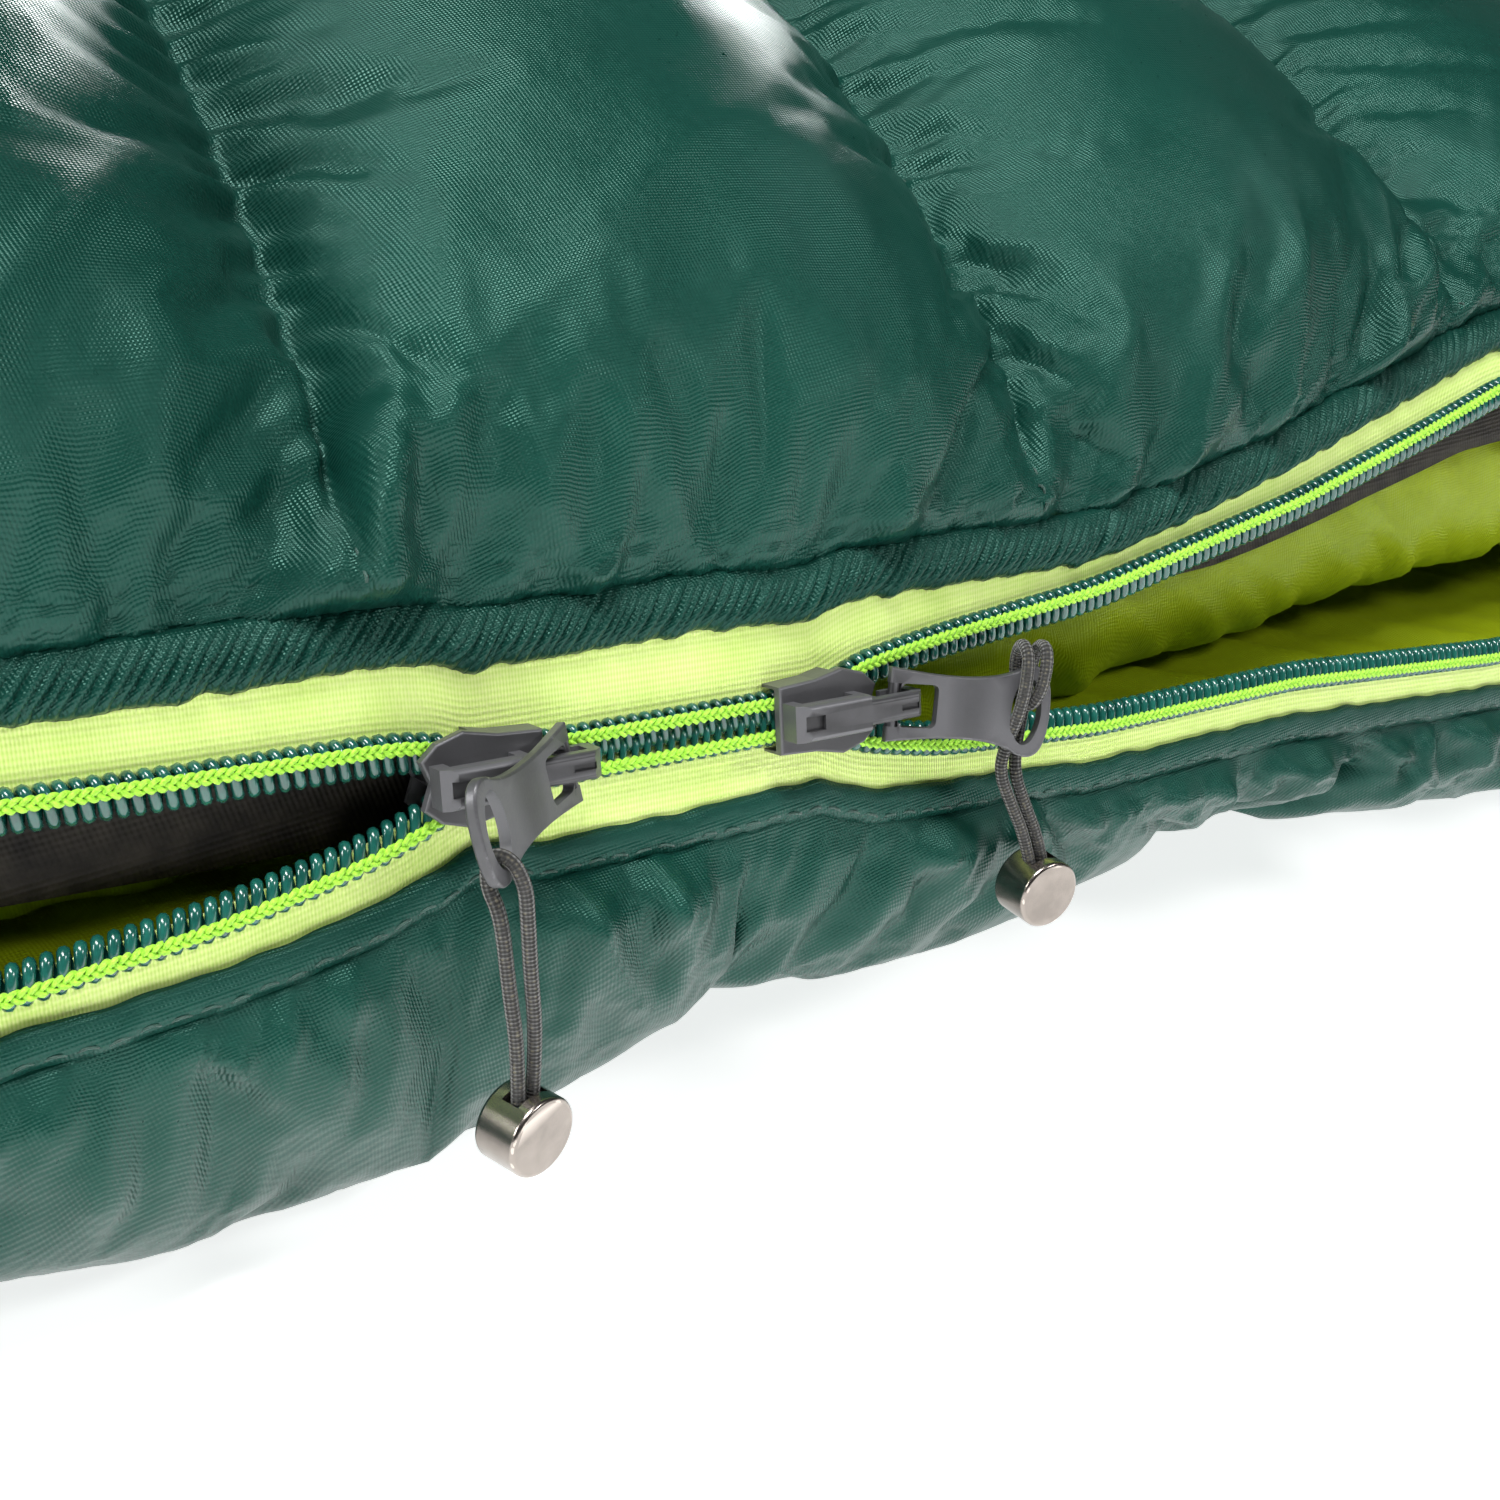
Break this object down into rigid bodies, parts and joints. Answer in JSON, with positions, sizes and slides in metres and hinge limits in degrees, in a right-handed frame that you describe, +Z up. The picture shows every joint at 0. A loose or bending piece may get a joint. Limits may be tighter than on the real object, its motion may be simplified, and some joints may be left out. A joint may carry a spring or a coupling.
{
  "type": "mummy sleeping bag",
  "caption": "Down-filled mummy sleeping bag with hood and foot box, and a side zip partly open either side of two back-to-back sliders with corded pulls.",
  "frame": {"origin": "on the floor under the middle of the bag's length and width, bag lying on its back", "axes": "+X towards the head, +Y to the side without a zip, +Z up out of the floor"},
  "size_m": [2.126, 0.811, 0.1692],
  "materials": {
    "shell_nylon": "satin ripstop",
    "lining_nylon": "satin",
    "down": "matt",
    "baffle_mesh": "matt",
    "neon_tape": "woven",
    "coil_nylon": "gloss",
    "snag_fabric": "matt",
    "slider_metal": "satin anthracite",
    "spring_steel": "bright",
    "bead_metal": "polished gunmetal",
    "cord_braid": "braided",
    "webbing": "woven"
  },
  "bodies": {
    "bag": {"top_shell": "shell_nylon", "top_down_fill": "down", "top_baffle_walls": "baffle_mesh", "top_lining": "lining_nylon", "back_shell": "shell_nylon", "back_down_fill": "down", "back_baffle_walls": "baffle_mesh", "back_lining": "lining_nylon", "foot_box_shell": "shell_nylon", "foot_box_fill": "down", "foot_box_lining": "lining_nylon", "hood_shell": "shell_nylon", "hood_fill": "down", "hood_lining": "lining_nylon", "hood_hem": "shell_nylon", "hood_eyelets": "slider_metal", "draft_collar_cover": "lining_nylon", "draft_collar_fill": "down", "draft_tube_cover": "lining_nylon", "draft_tube_fill": "down", "anti_snag_strip": "snag_fabric", "edge_strip_upper": "shell_nylon", "edge_strip_lower": "shell_nylon", "zip_tape_upper": "neon_tape", "zip_tape_lower": "neon_tape", "zip_coil_upper": "coil_nylon", "zip_coil_lower": "coil_nylon", "zip_top_stops": "slider_metal", "zip_bottom_stop": "slider_metal", "hang_loops": "webbing"},
    "upper_slider": {"upper_slider_body": "slider_metal", "upper_slider_crown": "slider_metal", "upper_slider_lock_spring": "spring_steel"},
    "upper_tab": {"upper_pull_tab": "slider_metal", "upper_pull_cord": "cord_braid", "upper_cord_bead": "bead_metal"},
    "lower_slider": {"lower_slider_body": "slider_metal", "lower_slider_crown": "slider_metal", "lower_slider_lock_spring": "spring_steel"},
    "lower_tab": {"lower_pull_tab": "slider_metal", "lower_pull_cord": "cord_braid", "lower_cord_bead": "bead_metal"}
  },
  "joints": [
    {"name": "upper_slider_travel", "type": "slide", "parent": "bag", "child": "upper_slider", "axis": [0.9936, -0.1132, 0], "range_m": [-0.004, 0.455], "deforming": ["zip_tape_upper", "zip_tape_lower", "zip_coil_upper", "zip_coil_lower"]},
    {"name": "lower_slider_travel", "type": "slide", "parent": "bag", "child": "lower_slider", "axis": [-0.9936, 0.1132, 0], "range_m": [-0.004, 0.65], "deforming": ["zip_tape_upper", "zip_tape_lower", "zip_coil_upper", "zip_coil_lower"]},
    {"name": "upper_tab_swing", "type": "hinge", "parent": "upper_slider", "child": "upper_tab", "pos_m": [0.02552, -0.3516, 0.06078], "axis": [-0.1787, -0.1863, -0.9661], "range_deg": [-9, 112]},
    {"name": "lower_tab_swing", "type": "hinge", "parent": "lower_slider", "child": "lower_tab", "pos_m": [-0.01641, -0.34682, 0.06078], "axis": [0.1494, -0.2231, -0.9633], "range_deg": [-83, 0.5]}
  ]
}
